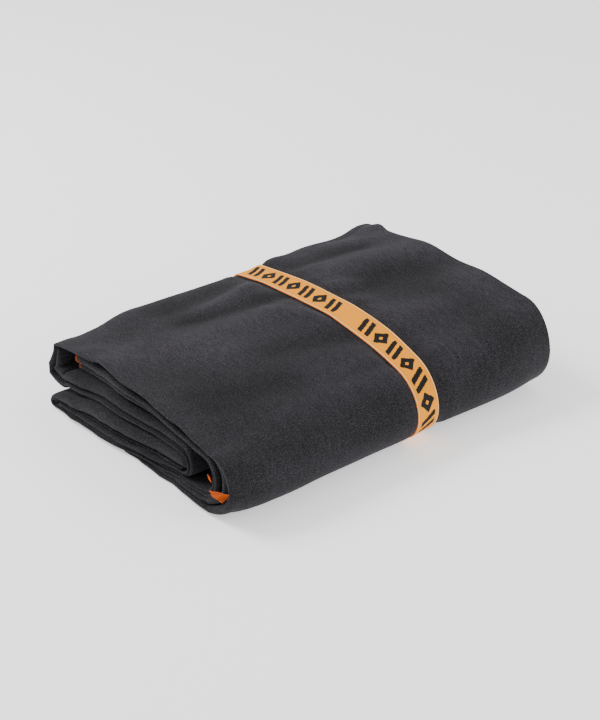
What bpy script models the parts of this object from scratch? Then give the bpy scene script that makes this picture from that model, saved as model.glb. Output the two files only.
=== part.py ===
"""Quick dry towel, folded into a flat packet and held by a loop of woven elastic.

Metres, +Z up. X runs along the packet, -Y is its rounded front side, and the origin is
the middle of the packet on the surface that it lies on.

The towel is one sheet. It is folded in four across its width, which gives a strip as
wide as the packet is long, and the strip is then folded up into eight panels. The panels
are the towel's sub-parts, numbered along the strip from the end hem under the packet to
the one inside it. Every sub-part keeps CLEARANCE to what it touches.
"""
import math

import bmesh
import bpy
from mathutils import Matrix, Vector

# Packet
PACKET_LENGTH = 0.200
PACKET_DEPTH = 0.152
PANEL_THICKNESS = 0.0042
CLOTH_LAYERS = 4
CLEARANCE = 0.0003
LOWER_TIP_SETBACK = 0.002
FOLD_LEAD = 0.001

# Level of each panel in the packet, 1 at the bottom, in order along the strip
PANEL_LEVELS = (1, 8, 6, 3, 4, 5, 2, 7)

# Overlocked hems
SIDE_HEM_DIAMETER = 0.00075
END_HEM_WIDTH = 0.0016

# Care label
LABEL_LENGTH = 0.030
LABEL_WIDTH = 0.018
LABEL_THICKNESS = 0.0002
LABEL_PLACE = 0.030

# Elastic band
BAND_WIDTH = 0.016
BAND_THICKNESS = 0.0010
BAND_PLACE = 0.019
LAP_LENGTH = 0.014
LAP_INSET = 0.0002
TACK_INSET = 0.0012
TACK_WIDTH = 0.0018
TACK_HEIGHT = 0.0005
TACK_SPACING = 0.0095

# Worked out from the sizes above
PANEL_COUNT = len(PANEL_LEVELS)
PANEL_GAP = LABEL_THICKNESS + 2 * CLEARANCE
PITCH = PANEL_THICKNESS + PANEL_GAP
PACKET_HEIGHT = PANEL_COUNT * PITCH - PANEL_GAP
UNDERSIDE = BAND_THICKNESS + CLEARANCE
MIDDLE_HEIGHT = UNDERSIDE + PACKET_HEIGHT / 2
FRONT_RADIUS = PACKET_HEIGHT / 2
UPPER_RADIUS = PITCH + PANEL_THICKNESS / 2
LOWER_RADIUS = 1.5 * PITCH + PANEL_THICKNESS / 2
LAP_TOP = CLEARANCE + 2 * BAND_THICKNESS
TACK_LENGTH = BAND_WIDTH - 2 * TACK_INSET
TACK_TOP = LAP_TOP + CLEARANCE + TACK_HEIGHT
FRONT_EDGE = UNDERSIDE - (PACKET_DEPTH + UNDERSIDE + TACK_TOP) / 2
REAR_EDGE = FRONT_EDGE + PACKET_DEPTH
FRONT_CENTRE = FRONT_EDGE + FRONT_RADIUS
UPPER_CENTRE = REAR_EDGE - UPPER_RADIUS
LOWER_CENTRE = REAR_EDGE - LOWER_TIP_SETBACK - LOWER_RADIUS
OUTER_HEM_EDGE = REAR_EDGE - LOWER_RADIUS
INNER_HEM_EDGE = UPPER_CENTRE
CLOTH_END = PACKET_LENGTH / 2 - SIDE_HEM_DIAMETER - CLEARANCE

NOSE_STEPS = 8
BAND_FRONT_STEPS = 20
BAND_CORNER_STEPS = 8

CLOTH_COLOUR = (0.044, 0.042, 0.049, 1)
THREAD_COLOUR = (0.70, 0.22, 0.05, 1)
ELASTIC_COLOUR = (0.78, 0.40, 0.12, 1)
LABEL_COLOUR = (0.80, 0.80, 0.78, 1)


def clear_scene():
    for item in list(bpy.data.objects):
        bpy.data.objects.remove(item, do_unlink=True)


def new_collection(name):
    group = bpy.data.collections.new(name)
    bpy.context.scene.collection.children.link(group)
    return group


def set_material(item, colour, roughness):
    material = bpy.data.materials.new(item.name + "_material")
    material.use_nodes = True
    shader = material.node_tree.nodes["Principled BSDF"]
    shader.inputs["Base Color"].default_value = colour
    shader.inputs["Roughness"].default_value = roughness
    shader.inputs["Metallic"].default_value = 0.0
    item.data.materials.append(material)


def panel_height(panel, offset=0.0):
    """Height of a panel's middle, or of a layer that lies offset towards its outer face."""
    outward = -1 if panel % 2 else 1
    middle = UNDERSIDE + PANEL_THICKNESS / 2 + (PANEL_LEVELS[panel - 1] - 1) * PITCH
    return middle + outward * offset


def nose_centre(panel):
    """Y of the fold between this panel and the next one."""
    if panel % 2:
        return FRONT_CENTRE
    if PANEL_LEVELS[panel - 1] + PANEL_LEVELS[panel] > PANEL_COUNT:
        return UPPER_CENTRE
    return LOWER_CENTRE


def nose_points(panel, offset=0.0):
    """The round fold from the end of this panel to the start of the next one."""
    side = -1 if panel % 2 else 1
    start = panel_height(panel, offset)
    end = panel_height(panel + 1, offset)
    centre = (start + end) / 2
    radius = abs(end - start) / 2
    points = []
    for step in range(NOSE_STEPS + 1):
        turn = math.pi * step / NOSE_STEPS
        points.append((nose_centre(panel) + side * radius * math.sin(turn),
                       centre + (start - centre) * math.cos(turn)))
    return points


def panel_path(panel):
    """A panel's middle line: the fold before it, if any, and its straight run.

    The fold starts with a short straight lead, so that the panels' cut faces are square.
    """
    if panel == 1:
        start = OUTER_HEM_EDGE - END_HEM_WIDTH - CLEARANCE
        points = [(start, panel_height(panel))]
    else:
        inward = 1 if panel % 2 == 0 else -1
        start = nose_centre(panel - 1) + inward * FOLD_LEAD
        points = [(start, panel_height(panel - 1))] + nose_points(panel - 1)
    if panel == PANEL_COUNT:
        end = INNER_HEM_EDGE - END_HEM_WIDTH - CLEARANCE
    else:
        inward = 1 if panel % 2 else -1
        end = nose_centre(panel) + inward * (FOLD_LEAD + CLEARANCE)
    points.append((end, panel_height(panel)))
    return points


def ribbon(name, path, stations, closed=False):
    """An open surface: a line in the YZ plane drawn out along X through the stations."""
    shape = bmesh.new()
    row = [shape.verts.new((stations[0], y, z)) for y, z in path]
    ahead = row[1:] + row[:1] if closed else row[1:]
    edges = [shape.edges.new(pair) for pair in zip(row, ahead)]
    for before, after in zip(stations, stations[1:]):
        grown = bmesh.ops.extrude_edge_only(shape, edges=edges)["geom"]
        corners = {item for item in grown if isinstance(item, bmesh.types.BMVert)}
        bmesh.ops.translate(shape, verts=list(corners), vec=(after - before, 0, 0))
        edges = [item for item in grown
                 if isinstance(item, bmesh.types.BMEdge) and set(item.verts) <= corners]
    bmesh.ops.recalc_face_normals(shape, faces=shape.faces)
    mesh = bpy.data.meshes.new(name)
    shape.to_mesh(mesh)
    shape.free()
    return bpy.data.objects.new(name, mesh)


def box(name, size, centre, bevel):
    """A block with softened edges."""
    bpy.ops.mesh.primitive_cube_add(size=1, location=centre)
    item = bpy.context.object
    item.name = name
    item.data.name = name
    item.data.transform(Matrix.Diagonal((*size, 1)))
    for group in list(item.users_collection):
        group.objects.unlink(item)
    if bevel:
        softened = item.modifiers.new("softened", "BEVEL")
        softened.width = bevel
        softened.segments = 2
    return item


def towel_panel(panel):
    """One folded pass of the strip, four layers thick, closed by a round fold at -X."""
    fold = PANEL_THICKNESS / 2
    left = -PACKET_LENGTH / 2
    rounding = [(0.0, 0.2), (0.1, 0.5), (0.4, 0.8), (1.0, 1.0)]
    stations = [left + share * fold for share, width in rounding] + [CLOTH_END]
    item = ribbon("towel_panel_%d" % panel, panel_path(panel), stations)
    group = item.vertex_groups.new(name="thickness")
    for corner in item.data.vertices:
        width = 1.0
        for share, part in rounding:
            if abs(corner.co.x - left - share * fold) < fold / 100:
                width = part
        group.add([corner.index], width, "REPLACE")
    wall = item.modifiers.new("layers", "SOLIDIFY")
    wall.thickness = PANEL_THICKNESS
    wall.offset = 0
    wall.use_even_offset = True
    wall.vertex_group = group.name
    item.data.shade_smooth()
    item.data.set_sharp_from_angle(angle=math.radians(40))
    set_material(item, CLOTH_COLOUR, 0.95)
    return item


def side_hem(name, layer):
    """Overlocked edge of one cloth layer, along the whole strip at the +X end."""
    offset = PANEL_THICKNESS / CLOTH_LAYERS * (layer - (CLOTH_LAYERS + 1) / 2)
    points = [(OUTER_HEM_EDGE, panel_height(1, offset))]
    for panel in range(1, PANEL_COUNT):
        points += nose_points(panel, offset)
    points.append((INNER_HEM_EDGE, panel_height(PANEL_COUNT, offset)))
    curve = bpy.data.curves.new(name, "CURVE")
    curve.dimensions = "3D"
    curve.bevel_depth = SIDE_HEM_DIAMETER / 2
    curve.bevel_resolution = 1
    curve.use_fill_caps = True
    spline = curve.splines.new("POLY")
    spline.points.add(len(points) - 1)
    along = PACKET_LENGTH / 2 - SIDE_HEM_DIAMETER / 2
    for point, (y, z) in zip(spline.points, points):
        point.co = (along, y, z, 1)
    item = bpy.data.objects.new(name, curve)
    set_material(item, THREAD_COLOUR, 0.8)
    return item


def end_hem(name, panel, rear_edge):
    """Overlocked end of the strip, along the packet."""
    left = -PACKET_LENGTH / 2
    size = (CLOTH_END - left, END_HEM_WIDTH, PANEL_THICKNESS)
    centre = ((CLOTH_END + left) / 2, rear_edge - END_HEM_WIDTH / 2, panel_height(panel))
    item = box(name, size, centre, END_HEM_WIDTH / 4)
    set_material(item, THREAD_COLOUR, 0.8)
    return item


def care_label():
    """Blank ribbon label, caught in the side hem and lying under the last panel."""
    level = panel_height(PANEL_COUNT) - PITCH / 2
    size = (LABEL_LENGTH, LABEL_WIDTH, LABEL_THICKNESS)
    centre = (CLOTH_END - LABEL_LENGTH / 2, LABEL_PLACE, level)
    item = box("care_label", size, centre, 0)
    set_material(item, LABEL_COLOUR, 0.6)
    return item


def band_path():
    """Inner face of the elastic: a half circle at the front, two round rear corners."""
    points = []
    radius = FRONT_RADIUS + CLEARANCE
    for step in range(BAND_FRONT_STEPS + 1):
        turn = math.pi * (0.5 + step / BAND_FRONT_STEPS)
        points.append((FRONT_CENTRE + radius * math.cos(turn),
                       MIDDLE_HEIGHT + radius * math.sin(turn)))
    lower = (-0.5, LOWER_RADIUS, UNDERSIDE + LOWER_RADIUS)
    upper = (0.0, UPPER_RADIUS, UNDERSIDE + PACKET_HEIGHT - UPPER_RADIUS)
    for first, corner, height in (lower, upper):
        radius = corner + CLEARANCE
        for step in range(BAND_CORNER_STEPS + 1):
            turn = math.pi * (first + 0.5 * step / BAND_CORNER_STEPS)
            points.append((REAR_EDGE - corner + radius * math.cos(turn),
                           height + radius * math.sin(turn)))
    return points


def elastic_band(parts, cutters):
    """Woven elastic loop whose sewn tail lies over its start at the rear."""
    stations = (BAND_PLACE - BAND_WIDTH / 2, BAND_PLACE + BAND_WIDTH / 2)
    item = ribbon("elastic_band", band_path(), stations, closed=True)
    parts.objects.link(item)
    middle = Vector((BAND_PLACE, (FRONT_CENTRE + UPPER_CENTRE) / 2, MIDDLE_HEIGHT))
    face = item.data.polygons[0]
    if (face.center - middle).dot(face.normal) < 0:
        item.data.flip_normals()
    wall = item.modifiers.new("elastic", "SOLIDIFY")
    wall.thickness = BAND_THICKNESS
    wall.offset = 1
    wall.use_even_offset = True
    depth = 1.5 * BAND_THICKNESS
    size = (BAND_WIDTH - 2 * LAP_INSET, depth, LAP_LENGTH)
    centre = (BAND_PLACE, REAR_EDGE + LAP_TOP - depth / 2, MIDDLE_HEIGHT)
    tail = box("elastic_tail", size, centre, 0)
    cutters.objects.link(tail)
    tail.hide_render = True
    tail.display_type = "WIRE"
    joined = item.modifiers.new("tail", "BOOLEAN")
    joined.operation = "UNION"
    joined.object = tail
    item.data.shade_smooth()
    item.data.set_sharp_from_angle(angle=math.radians(40))
    set_material(item, ELASTIC_COLOUR, 0.7)


def bar_tack(name, side):
    """Row of dense stitches that sews the elastic's tail down."""
    size = (TACK_LENGTH, TACK_HEIGHT, TACK_WIDTH)
    centre = (BAND_PLACE, REAR_EDGE + TACK_TOP - TACK_HEIGHT / 2,
              MIDDLE_HEIGHT + side * TACK_SPACING / 2)
    item = box(name, size, centre, TACK_HEIGHT / 4)
    set_material(item, THREAD_COLOUR, 0.8)
    return item


def main():
    clear_scene()
    parts = new_collection("quick_dry_towel")
    cutters = new_collection("cutters")
    for panel in range(1, PANEL_COUNT + 1):
        parts.objects.link(towel_panel(panel))
    parts.objects.link(side_hem("side_hem_outer", CLOTH_LAYERS))
    parts.objects.link(side_hem("side_hem_inner", CLOTH_LAYERS - 1))
    parts.objects.link(end_hem("end_hem_outer", 1, OUTER_HEM_EDGE))
    parts.objects.link(end_hem("end_hem_inner", PANEL_COUNT, INNER_HEM_EDGE))
    parts.objects.link(care_label())
    elastic_band(parts, cutters)
    parts.objects.link(bar_tack("bar_tack_upper", 1))
    parts.objects.link(bar_tack("bar_tack_lower", -1))


main()
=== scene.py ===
"""A quick dry towel: one sheet of brushed microfibre, folded and held by woven elastic.

Lengths in the shape functions are millimetres, and meshes are metres. X runs along the
packet, -Y is its rounded front side and the packet lies on z = 0.
"""

import math

import bpy
import numpy as np
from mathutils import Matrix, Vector, noise


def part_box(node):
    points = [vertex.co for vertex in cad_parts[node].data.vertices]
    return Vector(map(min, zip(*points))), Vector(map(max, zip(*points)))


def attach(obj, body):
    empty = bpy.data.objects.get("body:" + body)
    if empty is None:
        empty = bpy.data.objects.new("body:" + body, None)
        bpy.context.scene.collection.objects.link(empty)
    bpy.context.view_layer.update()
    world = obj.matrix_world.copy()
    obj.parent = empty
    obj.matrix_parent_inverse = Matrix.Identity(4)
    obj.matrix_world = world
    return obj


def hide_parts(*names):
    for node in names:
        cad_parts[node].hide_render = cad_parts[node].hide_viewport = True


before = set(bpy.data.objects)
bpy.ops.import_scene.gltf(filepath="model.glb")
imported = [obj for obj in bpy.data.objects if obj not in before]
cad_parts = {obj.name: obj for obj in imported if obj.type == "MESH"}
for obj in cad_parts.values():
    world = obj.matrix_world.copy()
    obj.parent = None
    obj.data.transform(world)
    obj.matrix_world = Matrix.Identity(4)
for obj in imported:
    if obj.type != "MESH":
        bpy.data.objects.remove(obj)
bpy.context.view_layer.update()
bpy.ops.object.select_all(action="DESELECT")

MM = 0.001
CLOTH_THICKNESS = 0.45

BAND_LOW, BAND_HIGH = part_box("elastic_band")
BAND_MIDDLE = (BAND_LOW[0] + BAND_HIGH[0]) / 2 / MM
BAND_WIDTH = (BAND_HIGH[0] - BAND_LOW[0]) / MM
BAND_THICKNESS = 1.0


# ---------------------------------------------------------------- camera, light, floor

# The place the camera and the softboxes are turned to
AIM = Vector((0, 0, 0.02))


def add_camera():
    """A long lens in front of the packet, to the left and above."""
    azimuth = math.radians(-38.4)
    elevation = math.radians(28.0)
    distance = 0.708
    aside, above = -0.0021, 0.0003
    back = Vector((math.sin(azimuth) * math.cos(elevation),
                   -math.cos(azimuth) * math.cos(elevation), math.sin(elevation)))
    right = Vector((math.cos(azimuth), math.sin(azimuth), 0))
    up = back.cross(right)
    place = AIM + back * distance + right * aside + up * above
    bpy.ops.object.camera_add(location=place)
    camera = bpy.context.object
    camera.rotation_mode = "QUATERNION"
    camera.rotation_quaternion = (-back).to_track_quat("-Z", "Y")
    camera.data.sensor_width = 36
    camera.data.lens = 69.9
    camera.data.clip_start = 0.01
    bpy.context.scene.camera = camera


def add_area_light(name, place, size, power):
    """A round softbox that faces the middle of the packet."""
    bpy.ops.object.light_add(type="AREA", location=place)
    light = bpy.context.object
    light.name = name
    light.rotation_mode = "QUATERNION"
    light.rotation_quaternion = (AIM - Vector(place)).to_track_quat("-Z", "Y")
    light.data.shape = "DISK"
    light.data.size = size
    light.data.energy = power


def add_stage():
    """A plain pale floor under an even white sky, with one softbox behind and one in front."""
    bpy.ops.mesh.primitive_plane_add(size=20, location=(0, 0, -0.0004))
    floor = bpy.context.object
    floor.name = "floor"
    paint = bpy.data.materials.new("pale_floor")
    paint.use_nodes = True
    shader = paint.node_tree.nodes["Principled BSDF"]
    shader.inputs["Base Color"].default_value = (0.93, 0.93, 0.93, 1)
    shader.inputs["Roughness"].default_value = 1.0
    shader.inputs["Emission Color"].default_value = (1, 1, 1, 1)
    shader.inputs["Emission Strength"].default_value = 0.6
    floor.data.materials.append(paint)
    world = bpy.data.worlds.new("studio")
    bpy.context.scene.world = world
    world.use_nodes = True
    world.node_tree.nodes["Background"].inputs["Color"].default_value = (1, 1, 1, 1)
    world.node_tree.nodes["Background"].inputs["Strength"].default_value = 0.95
    add_area_light("rear_softbox", (-0.55, 0.75, 0.95), 0.6, 16)
    add_area_light("front_softbox", (0.7, -1.1, 0.7), 0.8, 9)


# ---------------------------------------------------------------- smooth shape helpers

def smooth(t):
    """0 up to t = 0, 1 from t = 1, and an even curve between."""
    t = np.clip(t, 0, 1)
    return t * t * (3 - 2 * t)


def through(x, knots):
    """A smooth curve through (x, value) knots, level beyond its ends."""
    xs, ys = np.array(sorted(knots), float).T
    slopes = np.gradient(ys, xs)
    x = np.clip(x, xs[0], xs[-1])
    i = np.clip(np.searchsorted(xs, x) - 1, 0, len(xs) - 2)
    width = xs[i + 1] - xs[i]
    t = (x - xs[i]) / width
    return ((1 + 2 * t) * (1 - t) ** 2 * ys[i] + t * (1 - t) ** 2 * width * slopes[i]
            + t * t * (3 - 2 * t) * ys[i + 1] - t * t * (1 - t) * width * slopes[i + 1])


@np.vectorize
def ripple(x, y, seed):
    """Smooth noise, about -1 to 1, one wave to a unit."""
    return noise.noise(Vector((x, y, seed))) * 1.6


# ---------------------------------------------------------------- the packet's outer form

# Height of the top along the middle, and how far its rear and front sides fall, by x
CROWN = ((-100, 35.4), (-60, 40.8), (0, 44.6), (60, 49.0), (100, 51.9))
REAR_DROP = ((-100, 1.2), (-60, 1.6), (0, 4.8), (60, 6.5), (85, 7.8), (100, 6.2))
FRONT_DROP = ((-100, 0.6), (-60, 3.0), (-20, 5.2), (20, 7.4), (50, 5.6), (100, 2.6))
# How far the elastic presses into the top, and how far its hold on the cloth reaches beside it
GRIP_DEPTH = 1.4
GRIP_FADE = 7
# How far the folded cloth lies off the floor, and the least height of the sheet's middle
FLOOR_GAP = 0.35
LOWEST_CLOTH = 0.3

# Soft ridges and hollows on top: two ends of a line, half width and height
WRINKLES = (
    (58, 70, 90, 50, 8, 1.5), (46, 34, 101, 17, 11, 1.7), (36, 54, 78, 46, 7, -1.5),
    (48, 5, 80, 1, 14, -1.7), (-32, 43, 12, 52, 5, 1.5), (-46, 56, -4, 61, 8, -1.3),
    (-46, 38, 12, 29, 7, -1.6), (-8, 18, 9, -5, 5, 1.5), (-84, 33, -50, 2, 15, 1.8),
    (-50, 20, -14, 16, 9, 1.1), (-30, -16, 8, -24, 9, -1.4), (30, -22, 60, -34, 8, 1.3),
    (-78, 68, -62, 73, 9, 1.6), (-78, -30, -40, -40, 10, -1.2), (30, 20, 44, 12, 5, 1.0),
    (97, 62, 102, 60, 6, 2.4), (92, -26, 102, -28, 12, 1.3), (96, 8, 102, 6, 10, 0.7),
)


def wrinkles(x, y):
    """Height of the soft ridges and hollows of the top, in millimetres."""
    total = 0 * x
    for x0, y0, x1, y1, width, height in WRINKLES:
        run = np.array((x1 - x0, y1 - y0), float)
        share = np.clip(((x - x0) * run[0] + (y - y0) * run[1]) / (run @ run), 0, 1)
        away = np.hypot(x - x0 - run[0] * share, y - y0 - run[1] * share)
        total = total + height * np.exp(-(away / width) ** 2)
    return total


def band_grip(x):
    """1 under the elastic, fading to 0 beside it."""
    return 1 - smooth((np.abs(x - BAND_MIDDLE) - BAND_WIDTH / 2 + 0.8) / GRIP_FADE)


def plain_top(x, y):
    """Height of the top without its waves, ridges and the press of the elastic."""
    crown = through(x, CROWN)
    rear = through(x, REAR_DROP) * np.clip((y - 8) / 62, 0, 1.15) ** 2
    front = through(x, FRONT_DROP) * np.clip(-y / 50, 0, 1.2) ** 2
    return crown - rear - front


def top_height(x, y):
    """Height of the top, with its waves, its ridges and the puckers beside the elastic."""
    waves = 0.6 * ripple(x / 52, y / 40, 3.1) + 0.35 * ripple(x / 23, y / 21, 7.7)
    beside = np.exp(-((np.abs(x - BAND_MIDDLE) - BAND_WIDTH / 2 - 9) / 7) ** 2)
    puckers = 1.25 * beside * ripple(x / 34 + y / 60, y / 13, 5.2)
    return (plain_top(x, y) + (waves + wrinkles(x, y)) * (1 - band_grip(x)) + puckers
            + 0.5 * beside - GRIP_DEPTH * band_grip(x))


def bottom_height(x, y):
    """Height of the underside, which the elastic lifts where it passes under."""
    return FLOOR_GAP + (BAND_THICKNESS + 0.1) * band_grip(x) + 0 * y


# ---------------------------------------------------------------- the folded strip

# The packet's panels lie on as many levels, with four layers of cloth in each
LEVELS = 8
LAYERS = 4
# The level each panel lies on, from the floor, and the steps along each panel and each fold
PANEL_LEVELS = (1, 8, 6, 3, 4, 5, 2, 7)
PANEL_STEPS = (26, 56, 22, 20, 20, 20, 20, 22)
NOSE_STEPS = (26, 12, 12, 8, 8, 10, 14)
# How much thicker the folds after some panels stand at the -X end
LOOSE_NOSES = {1: 7.0, 7: 3.5, 2: 4.5}
# How round a fold is: a semicircle at 1, and fuller below
NOSE_FULLNESS = 0.85
# Share of a level's height left free above and below its cloth
LEVEL_SLACK = 0.06
# Y of the strip's two ends, near the rear
STRIP_END = 60

# Bottom and top of each level at the -X end, from the rear to the front
END_PLACES = (76, 55, 30, 5, -20, -45, -60)
END_LEVELS = {
    8: ((29.2, 33.4, 36.8, 35.9, 35.0, 32.4, 28.6), (31.5, 35.7, 39.0, 38.0, 37.0, 34.4, 30.8)),
    7: ((23.0, 22.4, 25.0, 26.6, 26.8, 25.0, 22.4), (27.8, 32.0, 33.2, 32.2, 31.2, 29.0, 26.2)),
    6: ((12.4, 13.6, 16.6, 18.0, 19.2, 20.2, 20.2), (17.6, 22.0, 24.4, 24.0, 25.0, 24.8, 24.8)),
    5: ((3.2, 5.0, 7.2, 8.0, 9.6, 10.4, 10.4), (6.0, 11.6, 16.4, 17.6, 18.8, 19.8, 19.8)),
    4: ((3.0, 4.6, 6.8, 7.6, 9.2, 10.0, 10.0), (4.4, 6.4, 8.6, 9.6, 11.2, 12.2, 12.2)),
    3: ((1.8, 2.8, 3.8, 4.8, 6.9, 7.6, 7.6), (3.0, 4.6, 6.8, 7.4, 9.0, 9.8, 9.8)),
    2: ((0.4, 1.4, 1.8, 2.4, 4.2, 5.6, 7.6), (1.7, 2.7, 3.7, 4.6, 6.7, 7.4, 9.6)),
    1: ((0.3, 0.3, 0.3, 0.3, 0.3, 0.3, 0.5), (1.4, 1.2, 1.3, 2.2, 4.0, 5.4, 7.0)),
}
# X of each level's fold at the -X end, from the rear to the front
END_REACH = {
    8: ((80, -101.0), (60, -100.6), (0, -100.4), (-75, -100.4)),
    7: ((60, -97.0), (30, -98.4), (0, -98.2), (-75, -97.4)),
    6: ((80, -103.0), (50, -102.0), (0, -100.2), (-40, -98.5)),
    5: ((80, -105.8), (60, -105.6), (30, -104.4), (0, -101.6), (-40, -98.6)),
    4: ((80, -104.0), (70, -94.0), (0, -90.0), (-40, -90.0)),
    3: ((80, -106.4), (60, -106.4), (30, -105.0), (0, -102.0), (-40, -98.2)),
    2: ((80, -107.2), (60, -107.4), (30, -105.8), (0, -101.6), (-60, -97.6)),
    1: ((60, -98.0), (20, -101.0), (0, -101.6), (-40, -100.0), (-62, -100.6), (-78, -100.0)),
}


def end_share(x):
    """1 at the -X end, where the levels part, and 0 in the body of the packet."""
    return smooth((-x - 52) / 44)


def level_bounds(level, x, y):
    """Bottom and top of one level of the packet."""
    base = bottom_height(x, y)
    rise = (top_height(x, y) - base) / LEVELS
    bottom = base + rise * (level - 1 + LEVEL_SLACK)
    top = base + rise * (level - LEVEL_SLACK)
    end_bottom, end_top = (through(y, tuple(zip(END_PLACES, row))) for row in END_LEVELS[level])
    share = end_share(x)
    waves = 0.35 * ripple(x / 52, y / 40, 3.1) * level / LEVELS
    waves = waves + 0.45 * ripple(x / 11, y / 12, 0.35 * level)
    return (bottom + (end_bottom + waves - bottom) * share,
            top + (end_top + waves - top) * share)


def level_reach(level, y):
    """X of a level's fold at the -X end, a little ragged."""
    ragged = 0.9 * ripple(y / 24, 0.37 * level, 11.3) + 0.4 * ripple(y / 8, 0.61 * level, 2.9)
    return through(y, END_REACH[level]) + ragged


def open_reach(level, y):
    """X of a level's edge at the +X end: the upper levels stand out at the rear."""
    ragged = 0.8 * ripple(y / 30, 0.45 * level, 31.0)
    return 99.0 + ragged + 4.3 * smooth((y - 45) / 30) * level / LEVELS


def nose_places(panel, x):
    """Y at the start and end of the fold after this panel, and how far it stands out.

    The wide front fold, after panel 1, is drawn in under the elastic and at both ends of the
    packet, and is fullest a third of the way in from the -X end.
    """
    flare = end_share(x)
    wobble = 0.8 * ripple(x / 36, 0.3 * panel, 21.0)
    if panel == 1:
        swell = 1.3 * ripple(x / 60, 0.5, 9.0) - 1.5 * band_grip(x) - 3.6 * smooth((x - 60) / 45) ** 2
        first = -58.3 + 2.6 * flare + wobble
        swell = swell + 3.4 * np.exp(-((x + 70) / 20) ** 2) - 2.6 * smooth((-x - 84) / 16)
        swell = swell + 0.9 * smooth((-x - 76) / 18) * ripple(x / 6.5, 0.9, 4.0)
        return first, -52.5 - 5 * flare + wobble, 19.3 + 0.6 * flare + swell
    if panel == 7:
        return -50 + wobble, -50 + wobble, 11.5 + 0 * x
    if panel in (3, 5):
        reach = 8.0 if panel == 3 else 3.2
        return -33 + wobble, -33 + wobble, reach + 0 * x
    if panel == 2:
        return 68 + 6 * flare, 66 - 3 * flare, 8.4 + 3.4 * flare + wobble - 1.0 * band_grip(x)
    if panel == 6:
        return 65 - 2 * flare, 65 - 2 * flare, 9.5 - 1.6 * flare + wobble
    return 64 + 0 * flare, 64 + 0 * flare, 3.4 + 0 * x


def panel_ends(panel, x):
    """Y at which a panel starts and ends, between its folds."""
    start = STRIP_END + 0 * x if panel == 1 else nose_places(panel - 1, x)[1]
    end = STRIP_END + 0 * x if panel == LEVELS else nose_places(panel, x)[0]
    return start, end


def nose_bulge(panel, turn, part, reach, x):
    """How far a fold stands out of its panels' ends and how far it sags, at a turn round it.

    part is how far the turn has gone in height. The front fold is slack low down, and most
    so at the packet's ends. The upper rear fold comes to a crease at the -X end.
    """
    flare = end_share(x)
    if panel == 1 and turn < math.pi / 2:
        slack = 0.12 + 0.1 * flare + 0.3 * smooth((x - 40) / 60) + 0.5 * smooth((-x - 88) / 12)
        return reach * math.sin(turn) ** (NOSE_FULLNESS + slack), 0
    puff = reach * math.sin(turn) ** NOSE_FULLNESS
    if panel == 2:
        crease = min(part / 0.7, (1 - part) / 0.3)
        return puff + (reach * crease - puff) * flare, 4.5 * flare * math.sin(turn)
    if panel == 6:
        return puff, 1.6 * flare * math.sin(turn)
    return puff, 0


def strip_line(x_rows):
    """Middle line of the strip: y, z and layer pitch, at every step along it and every x.

    x_rows gives x for each step along the strip (rows) and each place across it.
    """
    ys, zs, pitches = [], [], []
    for panel in range(1, LEVELS + 1):
        level = PANEL_LEVELS[panel - 1]
        steps = PANEL_STEPS[panel - 1]
        for step in range(steps):
            x = x_rows[len(ys)]
            start, end = panel_ends(panel, x)
            y = start + (end - start) * step / (steps - 1)
            bottom, top = level_bounds(level, x, y)
            ys.append(y)
            zs.append((bottom + top) / 2)
            pitches.append((top - bottom) / LAYERS)
        if panel == LEVELS:
            break
        side = -1 if panel % 2 else 1
        for step in range(1, NOSE_STEPS[panel - 1] + 1):
            x = x_rows[len(ys)]
            turn = math.pi * step / (NOSE_STEPS[panel - 1] + 1)
            part = (1 - math.cos(turn)) / 2
            first, last, reach = nose_places(panel, x)
            low, high = level_bounds(level, x, first), level_bounds(PANEL_LEVELS[panel], x, last)
            z_first, z_last = sum(low) / 2, sum(high) / 2
            thick_first, thick_last = low[1] - low[0], high[1] - high[0]
            thick = thick_first + (thick_last - thick_first) * part
            loose = LOOSE_NOSES.get(panel, 0) * end_share(x) * math.sin(turn)
            puff, droop = nose_bulge(panel, turn, part, reach, x)
            ys.append(first + (last - first) * part + side * (puff - loose / 2))
            zs.append(z_first + (z_last - z_first) * part - droop)
            pitches.append((thick + loose) / LAYERS)
    return np.array(ys), np.array(zs), np.array(pitches)


def strip_reach():
    """X of the -X fold and of the +X end at every step along the strip."""
    lefts, rights = [], []
    for panel in range(1, LEVELS + 1):
        level = PANEL_LEVELS[panel - 1]
        steps = PANEL_STEPS[panel - 1]
        start, end = (float(side) for side in panel_ends(panel, np.array(-100.0)))
        y = np.linspace(start, end, steps)
        lefts += list(level_reach(level, y))
        rights += list(open_reach(level, y))
        if panel < LEVELS:
            ahead = float(panel_ends(panel + 1, np.array(-100.0))[0])
            after = float(level_reach(PANEL_LEVELS[panel], np.array(ahead)))
            right = float(open_reach(PANEL_LEVELS[panel], np.array(ahead)))
            for step in range(1, NOSE_STEPS[panel - 1] + 1):
                part = step / (NOSE_STEPS[panel - 1] + 1)
                lefts.append(lefts[-1] + (after - lefts[-1]) * part)
                rights.append(rights[-1] + (right - rights[-1]) * part)
    return np.array(lefts), np.array(rights)


# Share of each panel's thickness that its outer pair of layers takes at the -X end
OUTER_SHARE = (0.5, 0.5, 0.3, 0.5, 0.5, 0.86, 0.45, 0.62)
# Most that the side folds are rounded, and how round the middle fold is
PAIR_DEPTH = 2.6
MIDDLE_FOLD_DEPTH = 1.1
# How far the edges of layers 1 and 3 stay back from the +X end
HEM_BACK = {1: 2.4, 3: 0.4}


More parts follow.
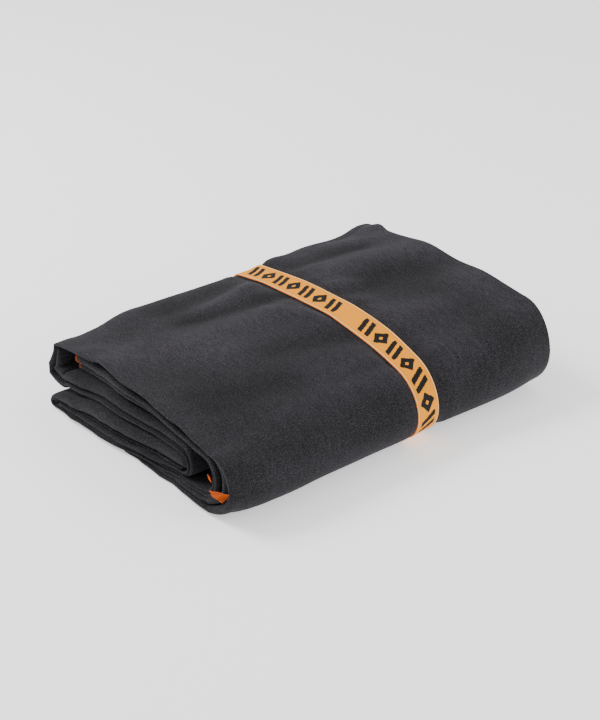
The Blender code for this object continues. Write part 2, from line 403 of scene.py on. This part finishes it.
def layer_columns():
    """The columns of the sheet across its four layers.

    Each is a share of the way from the +X end, the two layers it lies between, how far it
    has turned from one to the other, and which end it turns at. Layer 0 is the outermost.
    The sides are folded over at the -X end, and the middle fold at the +X end goes round
    the hem of layer 1, while the hem of layer 3 lies inside it.
    """
    fine = np.concatenate([np.linspace(0.0, 0.32, 17), np.linspace(0.335, 0.52, 26),
                           np.linspace(0.54, 0.80, 12), np.linspace(0.82, 1.0, 17)])
    coarse = np.concatenate([np.linspace(0.0, 0.7, 12), np.linspace(0.75, 1.0, 9)])
    turns = np.linspace(0, math.pi, 9)[1:-1]
    columns = [(share, 1, 1, 0.0, 0) for share in coarse]
    columns += [(1.0, 1, 0, turn, -1) for turn in turns]
    columns += [(share, 0, 0, 0.0, 0) for share in fine[::-1]]
    columns += [(0.0, 0, 2, turn, 1) for turn in turns]
    columns += [(share, 2, 2, 0.0, 0) for share in coarse]
    columns += [(1.0, 2, 3, turn, -1) for turn in turns]
    columns += [(share, 3, 3, 0.0, 0) for share in coarse[::-1]]
    return columns


def panel_rows(values):
    """One value to a panel, spread over the rows of points along the strip."""
    rows = []
    for panel in range(1, LEVELS + 1):
        rows += [values[panel - 1]] * PANEL_STEPS[panel - 1]
        if panel < LEVELS:
            count = NOSE_STEPS[panel - 1]
            step = (values[panel] - values[panel - 1]) / (count + 1)
            rows += [values[panel - 1] + step * n for n in range(1, count + 1)]
    return np.array(rows)[:, None]


def layer_places(x, split):
    """Height of the four layers in the strip, in layer pitches, from the outermost.

    They lie evenly in the body of the packet. At the -X end they close up in two pairs.
    """
    part = 2 - 4 * split
    apart = end_share(x)
    rest = (1.5, 0.5, -0.5, -1.5)
    open_end = (1.75, part + 0.22, part - 0.22, -1.75)
    return np.array([(a + (b - a) * apart) * 0.98 for a, b in zip(rest, open_end)])


def folded_sheet():
    """Grid of points of the whole folded sheet, steps along the strip by places across."""
    columns = layer_columns()
    share, first, second, turn, side = (np.array(part) for part in zip(*columns))
    first, second = first.astype(int), second.astype(int)
    left, right = (ends[:, None] for ends in strip_reach())
    split = panel_rows(OUTER_SHARE)
    across = np.arange(len(columns))

    inner_pair = first >= 2
    step = np.arange(len(left))[:, None]
    recess = np.where(inner_pair, 1.1 + 0.8 * ripple(step / 9.0, 0.0, 41.0), 0.0)
    hem_back = np.array([HEM_BACK.get(layer, 0.0) for layer in first])[None, :]
    flat_x = right - hem_back + (left + recess - right + hem_back) * share[None, :]
    y, z, pitch = strip_line(flat_x)
    places = layer_places(flat_x, split) * pitch
    one, two = places[first, :, across].T, places[second, :, across].T
    outer, inner = places[inner_pair * 2, :, across].T, places[inner_pair * 2 + 1, :, across].T
    depth = np.clip(abs(outer - inner) / 2, 0.25, PAIR_DEPTH)
    x = flat_x + depth * share[None, :]
    bulge = np.where(side < 0, -depth, np.where(side > 0, MIDDLE_FOLD_DEPTH, 0))
    x = x + bulge * np.sin(turn)
    offset = (one + two) / 2 + (one - two) / 2 * np.cos(turn)
    run_y, run_z = np.gradient(y, axis=0), np.gradient(z, axis=0)
    length = np.hypot(run_y, run_z)
    y = y - run_z / length * offset
    z = z + run_y / length * offset
    return np.stack([x, y, np.maximum(z, LOWEST_CLOTH)], axis=-1) * MM


def mesh_from_grid(name, grid):
    """A surface over a grid of points, with its flat place as UV."""
    rows, columns = grid.shape[:2]
    index = np.arange(rows * columns).reshape(rows, columns)
    faces = np.stack([index[:-1, :-1], index[:-1, 1:], index[1:, 1:], index[1:, :-1]], -1)
    mesh = bpy.data.meshes.new(name)
    mesh.from_pydata(grid.reshape(-1, 3).tolist(), [], faces.reshape(-1, 4).tolist())
    across = np.zeros((rows, columns))
    across[:, 1:] = np.cumsum(np.linalg.norm(np.diff(grid, axis=1), axis=-1), axis=1)
    steps = np.linalg.norm(np.diff(grid, axis=0), axis=-1).mean(axis=1)
    along = np.concatenate([[0], np.cumsum(steps)])[:, None] + np.zeros((1, columns))
    return finish_mesh(name, mesh, np.stack([across, along], -1).reshape(-1, 2))


def apply_modifiers(piece):
    """Every modifier of a piece made part of its mesh, and the mesh shaded smooth."""
    bpy.ops.object.select_all(action="DESELECT")
    piece.select_set(True)
    bpy.context.view_layer.objects.active = piece
    for modifier in list(piece.modifiers):
        bpy.ops.object.modifier_apply(modifier=modifier.name)
    bpy.ops.object.shade_smooth()
    piece.select_set(False)


def make_towel(grid):
    """The cloth, with a point attribute of painted light and shade from 1, pale, to 0, dark: ridges
    painted pale, hollows painted dark, and the inner end in painted shade.
    """
    towel = mesh_from_grid("towel_cloth", grid)
    flat = grid.reshape(-1, 3) / MM
    # Painted light and shade: pale on the ridges of the top and dark in its hollows, with a random tone
    # over it.
    lie = wrinkles(flat[:, 0], flat[:, 1]) + 0.8 * ripple(flat[:, 0] / 26, flat[:, 2] / 15, 51.0)
    # Painted shade in the inner folds at the -X end, on every panel but the top one.
    inner = panel_rows((1, 0, 1, 1, 1, 1, 1, 1)) * smooth((-grid[..., 0] / MM - 80) / 14)
    lie = lie - inner.reshape(-1)
    # The painted light and shade kept on the points, for the cloth's colour.
    brushed = towel.data.attributes.new("painted_light_shade_and_tone", "FLOAT", "POINT")
    brushed.data.foreach_set("value", np.clip(0.5 + 0.35 * lie, 0, 1).astype(np.float32))
    wall = towel.modifiers.new("cloth_thickness", "SOLIDIFY")
    wall.thickness = CLOTH_THICKNESS * MM
    wall.offset = 0
    apply_modifiers(towel)
    return towel


# ---------------------------------------------------------------- threads and hems

def unit(vectors):
    """Vectors brought to a length of 1."""
    return vectors / np.maximum(np.linalg.norm(vectors, axis=-1, keepdims=True), 1e-12)


def resample(points, count, closed=False):
    """count points spread evenly along a line of points."""
    if closed:
        points = np.concatenate([points, points[:1]])
    steps = np.linalg.norm(np.diff(points, axis=0), axis=-1)
    run = np.concatenate([[0], np.cumsum(steps)])
    places = np.linspace(0, run[-1], count, endpoint=not closed)
    return np.stack([np.interp(places, run, axis) for axis in points.T], -1)


def line_length(points):
    return np.linalg.norm(np.diff(points, axis=0), axis=-1).sum()


def thread_rings(line, radius, sides, aside):
    """Rings of points round a line of thread. aside is a direction off the line's own."""
    ahead = unit(np.gradient(line, axis=0))
    one = unit(np.cross(ahead, aside))
    two = np.cross(ahead, one)
    turns = np.arange(sides) * 2 * math.pi / sides
    return (line[:, None] + radius * (one[:, None] * np.cos(turns)[None, :, None]
                                      + two[:, None] * np.sin(turns)[None, :, None]))


def piece_from_threads(name, threads):
    """One piece of thread: each entry is the rings of points round one length of it."""
    points, faces, flats, start = [], [], [], 0
    for rings in threads:
        count, sides = rings.shape[:2]
        index = start + np.arange(count * sides).reshape(count, sides)
        beside = np.roll(index, -1, axis=1)
        faces += np.stack([index[:-1], beside[:-1], beside[1:], index[1:]], -1).reshape(-1, 4).tolist()
        faces += [index[0][::-1].tolist(), index[-1].tolist()]
        steps = np.linalg.norm(np.diff(rings.mean(axis=1), axis=0), axis=-1)
        along = np.concatenate([[0], np.cumsum(steps)])
        flats.append(np.stack(np.meshgrid(np.arange(sides) / sides * 0.001, along), -1).reshape(-1, 2))
        points.append(rings.reshape(-1, 3))
        start += count * sides
    mesh = bpy.data.meshes.new(name)
    mesh.from_pydata(np.concatenate(points).tolist(), [], faces)
    return finish_mesh(name, mesh, np.concatenate(flats))


def finish_mesh(name, mesh, flat):
    """An object for a mesh, with each corner's flat place as its UV, in metres."""
    layer = mesh.uv_layers.new(name="flat_place")
    corner = np.zeros(len(mesh.loops), np.int32)
    mesh.loops.foreach_get("vertex_index", corner)
    layer.data.foreach_set("uv", flat[corner].astype(np.float32).ravel())
    mesh.polygons.foreach_set("use_smooth", np.ones(len(mesh.polygons), bool))
    piece = bpy.data.objects.new(name, mesh)
    bpy.context.scene.collection.objects.link(piece)
    return piece


def overlock(edge, inward, normal, width=2.2, pitch=0.75, radius=0.2, lift=0.36):
    """Thread wound over a cut edge, as rings. edge, inward and normal run along it, in metres."""
    loops = int(line_length(edge) / (pitch * MM))
    loop_steps = 8
    steps = loops * loop_steps + 1
    both = resample(np.concatenate([edge, edge + inward * MM, edge + normal * MM], -1), steps)
    edge, inward, normal = both[:, :3], both[:, 3:6], both[:, 6:]
    inward, normal = unit(inward - edge), unit(normal - edge)
    turn = np.arange(steps) * 2 * math.pi / loop_steps
    over_edge = 0.25
    line = (edge + inward * ((width / 2 - over_edge - width / 2 * np.cos(turn)) * MM)[:, None]
            + normal * (lift * np.sin(turn) * MM)[:, None])
    along = unit(np.gradient(edge, axis=0))
    return thread_rings(line, radius * MM, 4, along)


def loose_threads():
    """Ends of the hem's threads that show inside the front fold at the -X end.

    Six fan out from one place towards the outer fold, and three lie beside the inner one.
    """
    radius = 0.3
    threads = []
    aside = np.array([1.0, 0.2, 0.1])
    t = np.linspace(0, 1, 12)[:, None]
    start = np.array([-99.6, -58.5, 12.2])
    top, low = np.array([-100.9, -74.7, 18.8]), np.array([-101.2, -70.8, 13.2])
    for n in range(6):
        end = top + (low - top) * n / 5
        line = start + (end - start) * t
        line[:, 2] += (0.5 * np.sin(t * math.pi) * (1 - n / 4))[:, 0]
        line[:, 0] -= (1.0 * np.sin(t * math.pi) + 0.3 * np.sin(t * 9 + n))[:, 0]
        threads.append(thread_rings(line * MM, radius * MM, 6, aside))
    for n in range(3):
        line = np.array([-100.2, -57.9 - 0.4 * n, 20.6 - 0.7 * n]) + np.array([-0.4, -2.6, -0.6]) * t
        threads.append(thread_rings(line * MM, radius * MM, 6, aside))
    return piece_from_threads("hem_thread_ends", threads)


def make_label():
    """A blank ribbon sewn in at the +X end under level 7, its end showing past the cloth."""
    (low_x, low_y, _), (high_x, high_y, _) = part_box("care_label")
    showing = 0.002
    x = np.linspace(low_x, high_x + showing, 25) / MM
    y = np.linspace(low_y, high_y, 15) / MM
    place = np.stack(np.meshgrid(x, y, indexing="ij"), -1)
    z = level_bounds(7, place[..., 0], place[..., 1])[0] - 0.12
    z = z - 0.5 * smooth((place[..., 0] - 93) / 9)
    ribbon_thickness = 0.2
    label = mesh_from_grid("satin_label", np.concatenate([place, z[..., None]], -1) * MM)
    wall = label.modifiers.new("ribbon_thickness", "SOLIDIFY")
    wall.thickness = ribbon_thickness * MM
    wall.offset = 0
    apply_modifiers(label)
    return label


def hem_along(name, edge, inner, normal):
    """Overlocking along an edge of the sheet. inner is the line of points next to the edge."""
    return piece_from_threads(name, [overlock(edge, unit(inner - edge), normal)])


def grid_normals(grid):
    """Directions off the sheet at its points."""
    return unit(np.cross(np.gradient(grid, axis=1), np.gradient(grid, axis=0)))


# ---------------------------------------------------------------- elastic band

def outer_line(points):
    """The convex outline of points, anticlockwise."""
    points = sorted(map(tuple, points.tolist()))
    halves = []
    for side in (points, points[::-1]):
        half = []
        for point in side:
            while len(half) > 1:
                (ay, az), (by, bz) = half[-2:]
                if (by - ay) * (point[1] - az) - (bz - az) * (point[0] - ay) > 0:
                    break
                half.pop()
            half.append(point)
        halves += half[:-1]
    return np.array(halves)


# Y and z near which the elastic's ends are joined, and how far it stands off the cloth
SEAM_PLACE = (80, 21)
BAND_CLEARANCE = 0.05
# Points round the loop, and how many of them the lap reaches each side of the seam
BAND_STEPS = 420
LAP_STEPS = 9


def band_path(grid, x, count):
    """Middle line of the taut elastic round the packet at x, from its seam at the rear."""
    points = grid.reshape(-1, 3) / MM
    near = points[np.abs(points[:, 0] - x) < 2.5][:, 1:]
    path = resample(outer_line(near), 720, closed=True)
    smoothings = 14
    for _ in range(smoothings):
        path = (path + np.roll(path, 1, 0) + np.roll(path, -1, 0)) / 3
    ahead = unit(np.roll(path, -1, 0) - np.roll(path, 1, 0))
    stand = CLOTH_THICKNESS / 2 + BAND_THICKNESS / 2 + BAND_CLEARANCE
    path = path + np.stack([ahead[:, 1], -ahead[:, 0]], -1) * stand
    path[:, 1] = np.maximum(path[:, 1], BAND_THICKNESS / 2)
    start = np.argmin(np.hypot(path[:, 0] - SEAM_PLACE[0], path[:, 1] - SEAM_PLACE[1]))
    return resample(np.roll(path, -start, 0), count, closed=True)


def band_section():
    """Points round the band's section: place across it and height, with two ribs each side."""
    half = BAND_WIDTH / 2
    face = [(-half + 0.05, 0.16), (-half + 0.3, 0.5), (-half + 0.65, 0.6), (-half + 1.0, 0.5),
            (-half + 1.25, 0.38), (-half + 1.55, 0.5), (-half + 2.2, 0.52), (-half + 4.0, 0.52),
            (0.0, 0.53)]
    face += [(-across, height) for across, height in face[-2::-1]]
    back = [(across, -height) for across, height in face[::-1]]
    return np.array(face + back) * (1, BAND_THICKNESS)


def band_sheet(paths):
    """Points of a band along three paths, one for each side and one for the middle.

    The elastic is drawn narrower and bows towards -X as it goes over the front fold.
    """
    narrowing, bowing = 0.10, 3.2
    section = band_section()
    count = len(paths[0])
    share = section[:, 0] / BAND_WIDTH + 0.5
    paths = np.array(paths)
    rows = np.empty((count, len(section), 3))
    sides = np.array([0.0, 0.5, 1.0])
    for axis in range(2):
        rows[:, :, axis + 1] = np.array([np.interp(share, sides, line) for line in paths[:, :, axis].T])
    ahead = np.gradient(rows[:, :, 1:], axis=0)
    out = np.stack([ahead[..., 1], -ahead[..., 0]], -1)
    rows[:, :, 1:] += unit(out) * section[None, :, 1, None]
    front = smooth((-rows[:, :, 1].mean(axis=1) - 30) / 45)
    bow = 0.2 * np.sin(np.arange(count) / count * 2 * math.pi * 3) - bowing * front
    narrowed = section[None, :, 0] * (1 - narrowing * front)[:, None]
    rows[:, :, 0] = BAND_MIDDLE + narrowed + bow[:, None]
    return rows * MM


def band_piece(name, rows, closed):
    """A mesh from rows of points round a band's section."""
    count, around = rows.shape[:2]
    index = np.arange(count * around).reshape(count, around)
    if closed:
        index = np.concatenate([index, index[:1]])
    beside = np.roll(index, -1, axis=1)
    faces = np.stack([index[:-1], beside[:-1], beside[1:], index[1:]], -1).reshape(-1, 4).tolist()
    if not closed:
        faces += [index[0][::-1].tolist(), index[-1].tolist()]
    mesh = bpy.data.meshes.new(name)
    mesh.from_pydata(rows.reshape(-1, 3).tolist(), [], faces)
    piece = finish_mesh(name, mesh, np.zeros((count * around, 2)))
    middle = rows.mean(axis=1)
    ends = np.concatenate([middle, middle[:1]]) if closed else middle
    run = np.concatenate([[0], np.cumsum(np.linalg.norm(np.diff(ends, axis=0), axis=-1))])
    across = band_section()[:, 0] * MM
    layer = mesh.uv_layers["flat_place"]
    for face in mesh.polygons:
        steps = [corner // around for corner in face.vertices]
        wraps = closed and max(steps) - min(steps) > 1
        for loop, corner in zip(face.loop_indices, face.vertices):
            step = corner // around
            place = run[count] if wraps and step == 0 else run[step]
            layer.data[loop].uv = (place, across[corner % around])
    return piece


def make_band(grid):
    """The elastic loop, the lap that joins its ends, and the three paths of the lap."""
    inset, outward = 0.5, 0.07
    xs = (BAND_MIDDLE - BAND_WIDTH / 2 + inset, BAND_MIDDLE, BAND_MIDDLE + BAND_WIDTH / 2 - inset)
    low, middle, high = (band_path(grid, x, BAND_STEPS) for x in xs)
    paths = [low + (low - middle) * outward, middle, high + (high - middle) * outward]
    ring = band_sheet([np.concatenate([path[-4:], path, path[:4]]) for path in paths])
    loop = band_piece("elastic_loop", ring[4:-4], closed=True)
    rise = BAND_THICKNESS * 1.04
    lap_paths = []
    for path in paths:
        part = np.concatenate([path[-LAP_STEPS:], path[:LAP_STEPS]])
        ahead = unit(np.gradient(part, axis=0))
        lap_paths.append(part + np.stack([ahead[:, 1], -ahead[:, 0]], -1) * rise)
    lap = band_piece("elastic_lap", band_sheet(lap_paths), closed=False)
    return loop, lap, lap_paths


def bar_tack(name, place, middle_path):
    """A close zigzag of thread across the lap, at a share of its length."""
    line = resample(middle_path, 101)
    middle = int(place * 100)
    ahead = unit(line[middle + 1] - line[middle - 1])
    out = np.array([ahead[1], -ahead[0]])
    stitches = 64
    radius = 0.15
    step = np.arange(stitches + 1)
    across = (step / stitches - 0.5) * (BAND_WIDTH - 2.4)
    swing = np.where(step % 2, 0.9, -0.9) + 0.08 * np.sin(step * 1.7)
    lift = BAND_THICKNESS / 2 + 0.12 + 0.06 * np.cos(step * 2.3)
    points = line[middle] + ahead * swing[:, None] + out * lift[:, None]
    zigzag = np.column_stack([BAND_MIDDLE + across, points]) * MM
    zigzag = resample(zigzag, stitches * 5 + 1)
    return piece_from_threads(name, [thread_rings(zigzag, radius * MM, 6, np.array([1.0, 0.02, 0.0]))])


# ---------------------------------------------------------------- shader maths

class Graph:
    """A material's node tree, with one helper for nodes."""

    def __init__(self, name):
        self.material = bpy.data.materials.new(name)
        self.material.use_nodes = True
        self.tree = self.material.node_tree
        self.shader = self.tree.nodes["Principled BSDF"]

    def node(self, kind, inputs=(), **settings):
        """A new node of a kind, with its settings set first and then its sockets."""
        made = self.tree.nodes.new(kind)
        for key, value in settings.items():
            setattr(made, key, value)
        for key, value in dict(inputs).items():
            self.put(value, made.inputs[key])
        return made

    def put(self, value, socket):
        """A socket fed by a link, or set to a plain value."""
        if isinstance(value, Value):
            value = value.socket
        if isinstance(value, bpy.types.NodeSocket):
            self.tree.links.new(value, socket)
        else:
            socket.default_value = value

    def set(self, **values):
        """Values put into the shader, by name: base_color, roughness."""
        for key, value in values.items():
            self.put(value, self.shader.inputs[key.replace("_", " ").title()])

    def math(self, operation, *values, clamp=False):
        made = self.node("ShaderNodeMath", operation=operation, use_clamp=clamp)
        for value, socket in zip(values, made.inputs):
            self.put(value, socket)
        return Value(self, made.outputs[0])

    def flat_place(self):
        """Place on the flat piece, in millimetres: its vector, and its two parts."""
        uv = self.node("ShaderNodeUVMap", uv_map="flat_place").outputs[0]
        vector = self.scaled(uv, 1 / MM)
        parts = self.node("ShaderNodeSeparateXYZ", {0: vector})
        return vector, Value(self, parts.outputs[0]), Value(self, parts.outputs[1])

    def stretch(self, vector, scale):
        return self.node("ShaderNodeVectorMath", {0: vector, 1: scale}, operation="MULTIPLY").outputs[0]

    def scaled(self, vector, factor):
        made = self.node("ShaderNodeVectorMath", {0: vector, 3: factor}, operation="SCALE")
        return made.outputs[0]

    def attribute(self, name):
        return Value(self, self.node("ShaderNodeAttribute", attribute_name=name).outputs["Fac"])

    def noise(self, vector, scale, detail=2.0, roughness=0.5):
        made = self.node("ShaderNodeTexNoise", {"Vector": vector, "Scale": scale, "Detail": detail,
                                                "Roughness": roughness})
        return Value(self, made.outputs[0])

    def mix(self, share, one, two):
        made = self.node("ShaderNodeMix", data_type="RGBA")
        self.put(share, made.inputs[0])
        self.put(one, made.inputs[6])
        self.put(two, made.inputs[7])
        return made.outputs[2]

    def bump(self, height, distance, strength):
        """Fine relief on the shader, its depth in millimetres."""
        made = self.node("ShaderNodeBump", {"Strength": strength, "Distance": distance * MM})
        self.put(height, made.inputs["Height"])
        self.put(made.outputs[0], self.shader.inputs["Normal"])


class Value:
    """A number in a node tree that takes part in sums."""

    def __init__(self, graph, socket):
        self.graph = graph
        self.socket = socket

    def __add__(self, other):
        return self.graph.math("ADD", self, other)

    def __sub__(self, other):
        return self.graph.math("SUBTRACT", self, other)

    def __mul__(self, other):
        return self.graph.math("MULTIPLY", self, other)

    def __truediv__(self, other):
        return self.graph.math("DIVIDE", self, other)

    def __radd__(self, other):
        return self.graph.math("ADD", other, self)

    def __rsub__(self, other):
        return self.graph.math("SUBTRACT", other, self)

    def __rmul__(self, other):
        return self.graph.math("MULTIPLY", other, self)

    def __rtruediv__(self, other):
        return self.graph.math("DIVIDE", other, self)

    def __abs__(self):
        return self.graph.math("ABSOLUTE", self)

    def __lt__(self, other):
        return self.graph.math("LESS_THAN", self, other)

    def __gt__(self, other):
        return self.graph.math("GREATER_THAN", self, other)

    def floor(self):
        return self.graph.math("FLOOR", self)

    def wrap(self, size):
        """What is left over after whole steps of size."""
        return self.graph.math("WRAP", self, size, 0.0)

    def wave(self, length):
        """A sine wave of the value, from -1 to 1, one to a length."""
        return self.graph.math("SINE", self * (2 * math.pi / length))

    def ramp(self, low, high):
        """0 below low and 1 above high."""
        return self.graph.math("MULTIPLY_ADD", self, 1 / (high - low), -low / (high - low), clamp=True)


# ---------------------------------------------------------------- materials

def microfibre_material():
    """Brushed charcoal microfibre: short nap with pale fibre ends and faint brushed patches, made paler
    and darker by the painted light and shade on the cloth's points.
    """
    g = Graph("brushed_microfibre")
    place, across, along = g.flat_place()
    patches = g.noise(place, 0.045, 2)
    strokes = g.noise(g.stretch(place, (0.5, 0.16, 1)), 1.0, 3)
    nap = g.noise(place, 1.05, 3, 0.7)
    fibres = g.noise(g.stretch(place, (3.2, 1.1, 1)), 1.0, 2, 0.6)
    flecks = g.noise(place, 2.2, 1).ramp(0.60, 0.72)
    ground = g.mix(patches.ramp(0.35, 0.65), (0.012, 0.0112, 0.0128, 1), (0.017, 0.0158, 0.0178, 1))
    shade = strokes.ramp(0.35, 0.65) * 0.25 + nap.ramp(0.38, 0.62) * 0.5 + fibres.ramp(0.36, 0.64) * 0.25
    grain = g.mix(shade, (0.0030, 0.0027, 0.0033, 1), (0.0285, 0.0263, 0.0306, 1))
    # The colour made paler on the ridges and darker in the hollows and the inner end folds: painted
    # light and shade.
    base = g.scaled(g.mix(0.9, ground, grain), 0.56 + g.attribute("painted_light_shade_and_tone") * 1.15)
    g.set(base_color=g.mix(flecks * 0.5, base, (0.14, 0.14, 0.147, 1)))
    g.set(roughness=0.86 + nap * 0.12)
    g.shader.inputs["Specular IOR Level"].default_value = 0.1
    g.shader.inputs["Sheen Weight"].default_value = 0.06
    g.shader.inputs["Sheen Roughness"].default_value = 0.5
    g.shader.inputs["Sheen Tint"].default_value = (0.75, 0.74, 0.82, 1)
    ribs = across.wave(0.9) * along.wave(0.9)
    g.bump(nap * 0.5 + fibres * 0.4 + strokes * 0.5 + ribs * 0.06, 0.15, 1.0)
    return g.material


def thread_material(name, dark, light):
    """Twisted polyester thread with little gloss."""
    g = Graph(name)
    place, around, along = g.flat_place()
    twist = (along / 0.55 + around).wave(1.0) * 0.5 + 0.5
    wear = g.noise(place, 0.4, 2)
    g.set(base_color=g.mix(twist * 0.6 + wear * 0.4, dark, light))
    g.set(roughness=0.6 + wear * 0.25)
    g.shader.inputs["Specular IOR Level"].default_value = 0.12
    g.bump(twist, 0.05, 0.8)
    return g.material


# The woven figures stand in groups of seven along the elastic
GROUP_LENGTH = 76.3
GROUP_GAP = 15.0
GROUP_START = 70.0
FIGURE_PITCH = 10.9
FIGURE_HALF_HEIGHT = 5.1
STITCH = 0.42


def woven_figures(g, across, along):
    """1 on the dark figures woven into the elastic: slanted bars and lozenges, in stitch steps."""
    stepped_along = (along / STITCH).floor() * STITCH
    stepped_across = (across / STITCH).floor() * STITCH + STITCH / 2
    run = (stepped_along + GROUP_START).wrap(GROUP_LENGTH + GROUP_GAP)
    cell = (run / FIGURE_PITCH).floor()
    place = run - cell * FIGURE_PITCH - FIGURE_PITCH / 2
    odd = cell.wrap(2.0) > 0.5
    slant = place + stepped_across * 0.42
    bars = abs(abs(slant) - 2.5) < 1.55
    size = abs(place) + abs(stepped_across) * 0.9
    lozenge = (size < 4.9) * (size > 1.2)
    figure = bars * (1.0 - odd) + lozenge * odd
    return figure * (abs(stepped_across) < FIGURE_HALF_HEIGHT) * (run < GROUP_LENGTH - 0.4)


def elastic_material():
    """Orange woven elastic: fine cross ribs, corded selvedges, painted shade in the groove inside each
    selvedge, and dark woven figures.
    """
    g = Graph("woven_elastic")
    place, along, across = g.flat_place()
    cords = across.wave(0.62) * 0.5 + 0.5
    picks = along.wave(0.55) * 0.5 + 0.5
    fuzz = g.noise(place, 1.9, 3, 0.6)
    patches = g.noise(g.stretch(place, (0.12, 0.4, 1)), 1.0, 2)
    weave = cords * 0.45 + picks * 0.35 + fuzz * 0.4
    ground = g.mix(weave.ramp(0.2, 1.0), (0.72, 0.20, 0.0, 1), (1.0, 0.43, 0.0, 1))
    ground = g.mix(patches.ramp(0.3, 0.7) * 0.35, ground, (0.98, 0.31, 0.0, 1))
    half = BAND_WIDTH / 2
    selvedge = abs(across).ramp(half - 1.2, half - 0.8)
    ground = g.mix(selvedge * 0.75, ground, (1.0, 0.60, 0.20, 1))
    # Painted shade: a darker line in the groove between each selvedge cord and the body of the band.
    painted_groove_shade = (abs(abs(across) - (half - 1.3)) < 0.22) * 0.45
    ground = g.mix(painted_groove_shade, ground, (0.60, 0.12, 0.01, 1))
    rim = abs(across).ramp(half - 0.3, half - 0.05)
    ground = g.mix(rim * 0.9, ground, (0.80, 0.13, 0.01, 1))
    figures = woven_figures(g, across, along)
    ink = g.mix(weave.ramp(0.3, 1.0), (0.0008, 0.0007, 0.0008, 1), (0.006, 0.004, 0.004, 1))
    g.set(base_color=g.mix(figures, ground, ink))
    g.set(roughness=0.62 + fuzz * 0.2)
    g.shader.inputs["Specular IOR Level"].default_value = 0.25
    g.bump(weave + figures * 0.25, 0.14, 0.9)
    return g.material


def ribbon_material():
    """Plain off-white satin ribbon."""
    g = Graph("satin_ribbon")
    place, across, along = g.flat_place()
    weave = across.wave(0.35) * along.wave(0.5)
    fuzz = g.noise(place, 1.2, 3)
    g.set(base_color=g.mix(weave * 0.3 + fuzz * 0.6, (0.55, 0.54, 0.52, 1), (0.78, 0.77, 0.74, 1)))
    g.set(roughness=0.4 + fuzz * 0.2)
    g.shader.inputs["Sheen Weight"].default_value = 0.1
    g.bump(weave * 0.5 + fuzz, 0.05, 0.7)
    return g.material


# ---------------------------------------------------------------- build

def dress(piece, material, body):
    """Material and body of a finished piece."""
    piece.data.materials.append(material)
    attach(piece, body)


add_camera()
add_stage()
sheet_grid = folded_sheet()
normals = grid_normals(sheet_grid)
towel = make_towel(sheet_grid)
dress(towel, microfibre_material(), "towel")
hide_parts(*["towel_panel_%d" % n for n in range(1, 9)])

thread = thread_material("overlock_thread", (0.26, 0.026, 0.0, 1), (0.62, 0.105, 0.0, 1))
edges = (("side_overlock_outer", "side_hem_outer", np.s_[:, 0], np.s_[:, 1]),
         ("side_overlock_inner", "side_hem_inner", np.s_[:, -1], np.s_[:, -2]),
         ("end_overlock_outer", "end_hem_outer", np.s_[0], np.s_[1]),
         ("end_overlock_inner", "end_hem_inner", np.s_[-1], np.s_[-2]))
for name, node, edge, beside in edges:
    hem = hem_along(name, sheet_grid[edge], sheet_grid[beside], normals[edge])
    dress(hem, thread, "towel")
    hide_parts(node)

ends = loose_threads()
dress(ends, thread, "towel")
label = make_label()
dress(label, ribbon_material(), "towel")
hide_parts("care_label")

loop, lap, lap_paths = make_band(sheet_grid)
elastic = elastic_material()
dress(loop, elastic, "band")
dress(lap, elastic, "band")
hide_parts("elastic_band")
tack_thread = thread_material("tack_thread", (0.45, 0.09, 0.015, 1), (0.80, 0.25, 0.06, 1))
for name, share in (("bar_tack_upper", 0.82), ("bar_tack_lower", 0.18)):
    tack = bar_tack(name + "_thread", share, lap_paths[1])
    dress(tack, tack_thread, "band")
    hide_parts(name)
